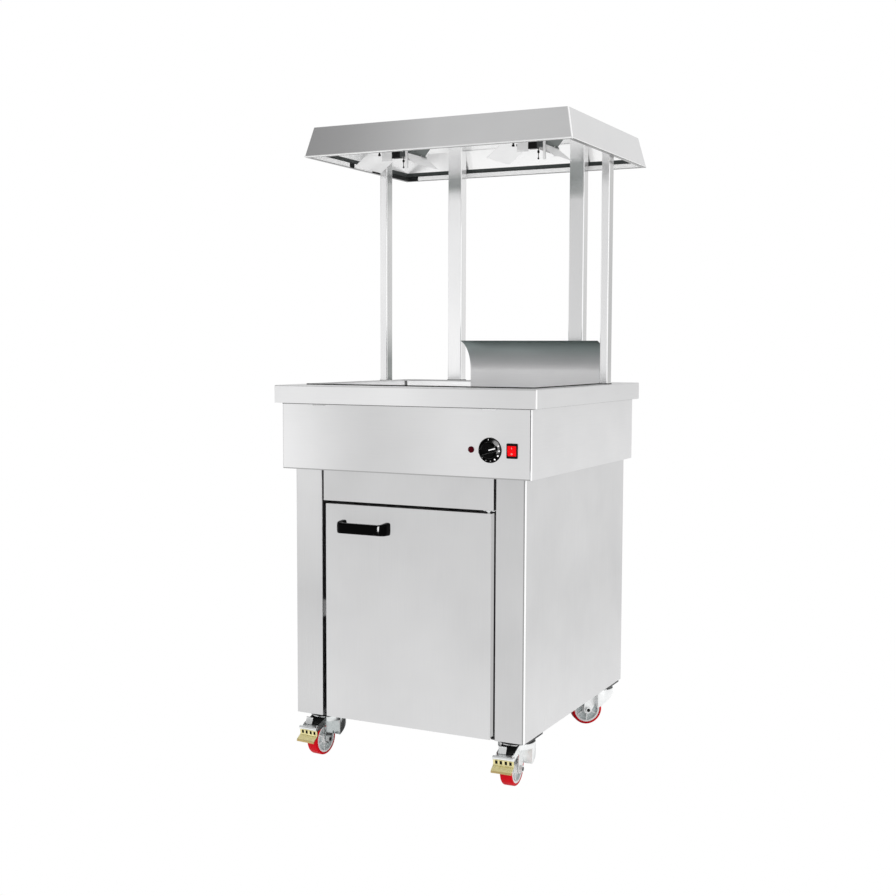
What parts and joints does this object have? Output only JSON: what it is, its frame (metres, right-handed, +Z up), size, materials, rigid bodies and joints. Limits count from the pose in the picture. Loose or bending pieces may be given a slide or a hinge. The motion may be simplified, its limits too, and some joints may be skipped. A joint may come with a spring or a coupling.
{
  "type": "heated chip scuttle",
  "caption": "Mobile stainless steel heated chip scuttle with a hinged cupboard door, heated well, chip guard, heat lamp hood on posts and swivel castors with brakes",
  "frame": {"origin": "on the floor, under the centre of the worktop", "axes": "+X to the right seen from the front, +Y towards the back, +Z up"},
  "size_m": [0.7, 0.724, 1.531],
  "materials": {
    "stainless_sheet": "brushed",
    "zinc_steel": "satin",
    "caster_zinc": "satin",
    "yellow_zinc": "satin",
    "reflector_aluminium": "polished",
    "element_sheath": "satin",
    "black_ceramic": "matte",
    "quartz_glass": "clear",
    "black_plastic": "matte",
    "black_gloss": "gloss",
    "red_plastic": "gloss",
    "white_plastic": "gloss",
    "red_tyre": "satin"
  },
  "bodies": {
    "cabinet": {"left_side_panel": "stainless_sheet", "right_side_panel": "stainless_sheet", "back_panel": "stainless_sheet", "door_rail": "stainless_sheet", "housing_shell": "stainless_sheet", "control_panel": "stainless_sheet", "worktop": "stainless_sheet", "chip_pan": "stainless_sheet", "left_post": "stainless_sheet", "right_post": "stainless_sheet", "back_left_post": "stainless_sheet", "back_right_post": "stainless_sheet", "hood": "stainless_sheet", "cabinet_floor": "zinc_steel", "housing_floor": "zinc_steel", "upper_hinge": "zinc_steel", "lower_hinge": "zinc_steel", "hinge_pins": "zinc_steel", "element_clamps": "zinc_steel", "lamp_hangers": "zinc_steel", "caster_plates": "zinc_steel", "caster_bolts": "zinc_steel", "post_bolts": "zinc_steel", "left_reflector": "reflector_aluminium", "right_reflector": "reflector_aluminium", "heating_element": "element_sheath", "lamp_holders": "black_ceramic", "lamp_tubes": "quartz_glass", "thermostat_body": "black_plastic", "switch_frame": "black_plastic", "indicator_lamp": "red_plastic", "cable_gland": "black_plastic", "magnet_catch": "white_plastic"},
    "door": {"door_skin": "stainless_sheet", "door_liner": "stainless_sheet", "door_handle": "black_gloss", "handle_screws": "zinc_steel"},
    "dial": {"control_knob": "black_gloss", "thermostat_spindle": "zinc_steel"},
    "rocker": {"switch_rocker": "red_plastic"},
    "tray": {"drain_tray": "stainless_sheet"},
    "guard": {"chip_guard": "stainless_sheet"},
    "front_left_swivel": {"front_left_fork": "caster_zinc", "front_left_axle": "zinc_steel"},
    "front_left_wheel": {"front_left_hub": "white_plastic", "front_left_tread": "red_tyre"},
    "front_left_brake": {"front_left_pedal": "yellow_zinc"},
    "front_right_swivel": {"front_right_fork": "caster_zinc", "front_right_axle": "zinc_steel"},
    "front_right_wheel": {"front_right_hub": "white_plastic", "front_right_tread": "red_tyre"},
    "front_right_brake": {"front_right_pedal": "yellow_zinc"},
    "rear_left_swivel": {"rear_left_fork": "caster_zinc", "rear_left_axle": "zinc_steel"},
    "rear_left_wheel": {"rear_left_hub": "white_plastic", "rear_left_tread": "red_tyre"},
    "rear_right_swivel": {"rear_right_fork": "caster_zinc", "rear_right_axle": "zinc_steel"},
    "rear_right_wheel": {"rear_right_hub": "white_plastic", "rear_right_tread": "red_tyre"}
  },
  "joints": [
    {"name": "door_hinge", "type": "hinge", "parent": "cabinet", "child": "door", "pos_m": [0.205, -0.304, 0.3645], "axis": [0, 0, 1], "range_deg": [0, 110]},
    {"name": "dial_turn", "type": "hinge", "parent": "cabinet", "child": "dial", "pos_m": [0.2225, -0.338, 0.765], "axis": [0, 1, 0], "range_deg": [-75, 195]},
    {"name": "rocker_tilt", "type": "hinge", "parent": "cabinet", "child": "rocker", "pos_m": [0.275, -0.336, 0.765], "axis": [1, 0, 0], "range_deg": [-14, 0]},
    {"name": "tray_lift", "type": "slide", "parent": "cabinet", "child": "tray", "axis": [0, 0, 1], "range_m": [0, 0.18]},
    {"name": "guard_lift", "type": "slide", "parent": "tray", "child": "guard", "axis": [0, 0, 1], "range_m": [0, 0.2]},
    {"name": "front_left_swivel_turn", "type": "hinge", "parent": "cabinet", "child": "front_left_swivel", "pos_m": [-0.252, -0.247, 0.096], "axis": [0, 0, 1], "continuous": true},
    {"name": "front_left_wheel_spin", "type": "hinge", "parent": "front_left_swivel", "child": "front_left_wheel", "pos_m": [-0.25409, -0.27693, 0.04], "axis": [-0.9976, 0.0698, 0], "continuous": true},
    {"name": "front_left_brake_press", "type": "hinge", "parent": "front_left_swivel", "child": "front_left_brake", "pos_m": [-0.25688, -0.31683, 0.076], "axis": [0.9976, -0.0698, 0], "range_deg": [0, 20]},
    {"name": "front_right_swivel_turn", "type": "hinge", "parent": "cabinet", "child": "front_right_swivel", "pos_m": [0.252, -0.247, 0.096], "axis": [0, 0, 1], "continuous": true},
    {"name": "front_right_wheel_spin", "type": "hinge", "parent": "front_right_swivel", "child": "front_right_wheel", "pos_m": [0.25305, -0.27698, 0.04], "axis": [-0.9994, -0.0349, 0], "continuous": true},
    {"name": "front_right_brake_press", "type": "hinge", "parent": "front_right_swivel", "child": "front_right_brake", "pos_m": [0.25444, -0.31696, 0.076], "axis": [0.9994, 0.0349, 0], "range_deg": [0, 20]},
    {"name": "rear_left_swivel_turn", "type": "hinge", "parent": "cabinet", "child": "rear_left_swivel", "pos_m": [-0.252, 0.284, 0.096], "axis": [0, 0, 1], "continuous": true},
    {"name": "rear_left_wheel_spin", "type": "hinge", "parent": "rear_left_swivel", "child": "rear_left_wheel", "pos_m": [-0.27564, 0.26553, 0.04], "axis": [-0.6157, 0.788, 0], "continuous": true},
    {"name": "rear_right_swivel_turn", "type": "hinge", "parent": "cabinet", "child": "rear_right_swivel", "pos_m": [0.252, 0.284, 0.096], "axis": [0, 0, 1], "continuous": true},
    {"name": "rear_right_wheel_spin", "type": "hinge", "parent": "rear_right_swivel", "child": "rear_right_wheel", "pos_m": [0.22836, 0.26553, 0.04], "axis": [-0.6157, 0.788, 0], "continuous": true}
  ]
}
